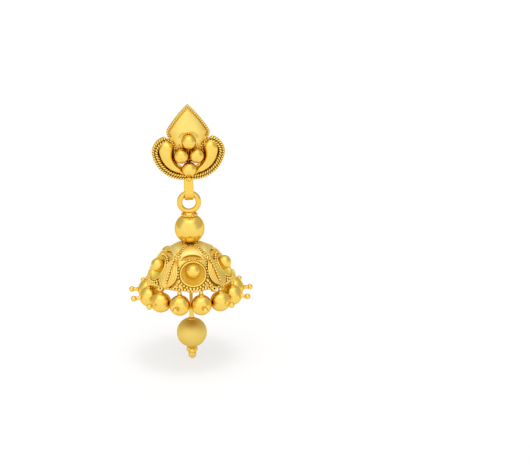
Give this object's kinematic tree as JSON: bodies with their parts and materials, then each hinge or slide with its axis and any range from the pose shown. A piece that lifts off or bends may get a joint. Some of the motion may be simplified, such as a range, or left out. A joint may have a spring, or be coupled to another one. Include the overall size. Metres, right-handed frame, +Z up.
{
  "type": "jhumka earring",
  "caption": "Gold-coloured stud with a leaf and crescents, a hollow bell swinging from its ring, rim balls, and a ball drop inside.",
  "frame": {"origin": "root of the ear post on the stud's back face, where it passes through the ear lobe", "axes": "+Z up along the hanging length, -Y out of the front of the stud, +Y along the ear post, +X to the right as seen from the front"},
  "size_m": [0.0188, 0.0196, 0.0398],
  "materials": {
    "polished_gold": "polished yellow gold",
    "satin_gold": "satin yellow gold with beaded wire",
    "engraved_gold": "satin yellow gold with engraved lines",
    "gold_wire": "drawn, polished gold wire"
  },
  "bodies": {
    "stud": {"ear_post": "gold_wire", "stud_leaf": "polished_gold", "crescent_left": "polished_gold", "crescent_right": "polished_gold", "stud_ball_top": "polished_gold", "stud_ball_left": "polished_gold", "stud_ball_right": "polished_gold", "stud_ball_bottom": "polished_gold", "bail_strap": "gold_wire"},
    "bell": {"eye_pin": "gold_wire", "top_collar": "satin_gold", "upper_ball": "polished_gold", "bell_dome": "satin_gold", "hood_1": "polished_gold", "hood_2": "polished_gold", "hood_3": "polished_gold", "hood_4": "polished_gold", "hood_5": "polished_gold", "bezel_cup_1": "polished_gold", "bezel_cup_2": "polished_gold", "bezel_cup_3": "polished_gold", "bezel_cup_4": "polished_gold", "bezel_cup_5": "polished_gold", "leaf_petal_1": "engraved_gold", "leaf_petal_2": "engraved_gold", "leaf_petal_3": "engraved_gold", "leaf_petal_4": "engraved_gold", "leaf_petal_5": "engraved_gold", "rim_ball_01": "polished_gold", "rim_ball_02": "polished_gold", "rim_ball_03": "polished_gold", "rim_ball_04": "polished_gold", "rim_ball_05": "polished_gold", "rim_ball_06": "polished_gold", "rim_ball_07": "polished_gold", "rim_ball_08": "polished_gold", "rim_ball_09": "polished_gold", "rim_ball_10": "polished_gold", "rim_ball_11": "polished_gold", "rim_ball_12": "polished_gold", "rim_ball_13": "polished_gold"},
    "drop": {"drop_wire": "gold_wire", "drop_ball": "polished_gold", "drop_tip": "polished_gold"}
  },
  "joints": [
    {"name": "bell_swing", "type": "hinge", "parent": "stud", "child": "bell", "pos_m": [0, 0.00062, -0.00648], "axis": [1, 0, 0], "range_deg": [-60, 60]},
    {"name": "drop_swing", "type": "hinge", "parent": "bell", "child": "drop", "pos_m": [0, 0.00062, -0.0158], "axis": [0, 1, 0], "range_deg": [-28, 28]}
  ]
}
